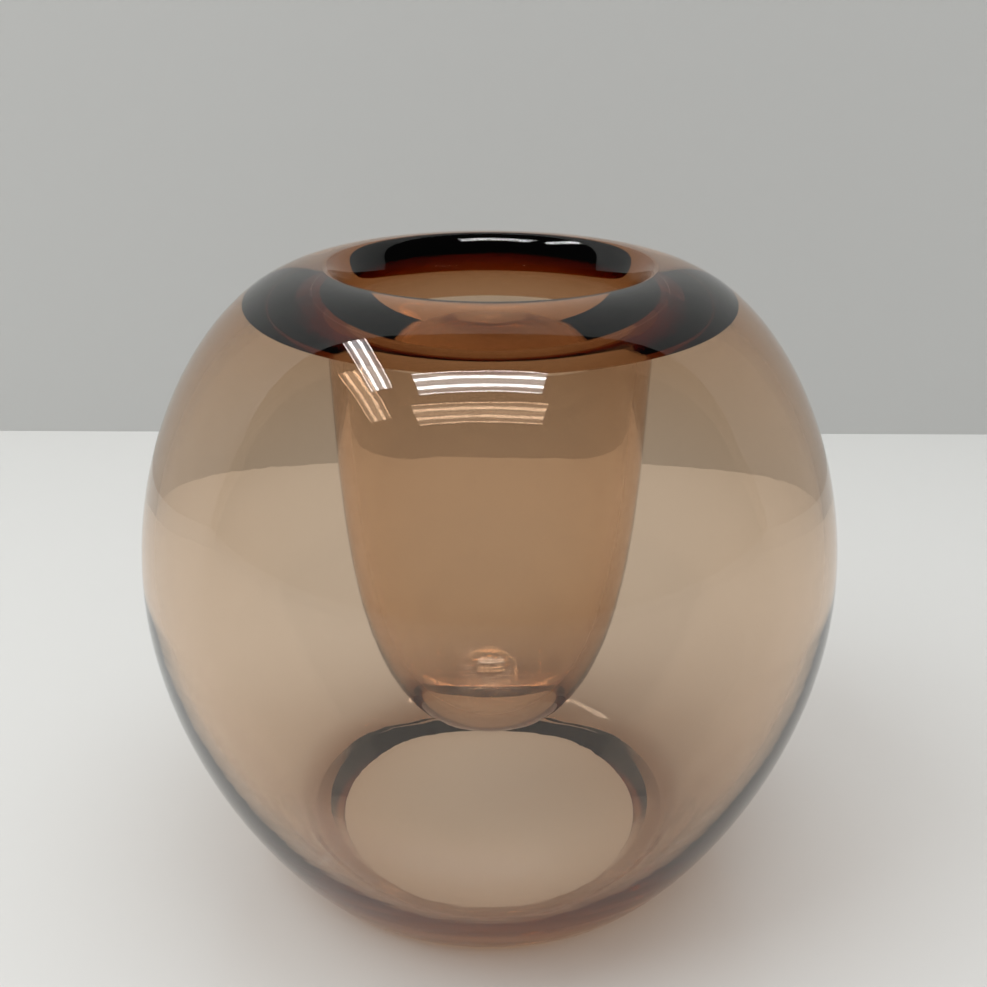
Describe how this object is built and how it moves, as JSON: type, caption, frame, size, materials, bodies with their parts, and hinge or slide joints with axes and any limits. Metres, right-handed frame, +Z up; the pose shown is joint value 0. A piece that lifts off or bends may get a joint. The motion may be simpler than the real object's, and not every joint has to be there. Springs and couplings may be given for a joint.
{
  "type": "glass bud vase",
  "caption": "Globe-shaped vase of double-walled blown glass with an inner tube for the stem, a thick rolled lip and a ground, open underside.",
  "frame": {"origin": "centre of the ground underside, on the table", "axes": "+Z up along the axis of revolution, through the centre of the mouth"},
  "size_m": [0.15, 0.15, 0.1367],
  "materials": {
    "tea_glass": "fire-polished, transparent tea brown"
  },
  "bodies": {
    "root": {"globe_shell": "tea_glass", "flower_tube": "tea_glass"}
  },
  "joints": []
}
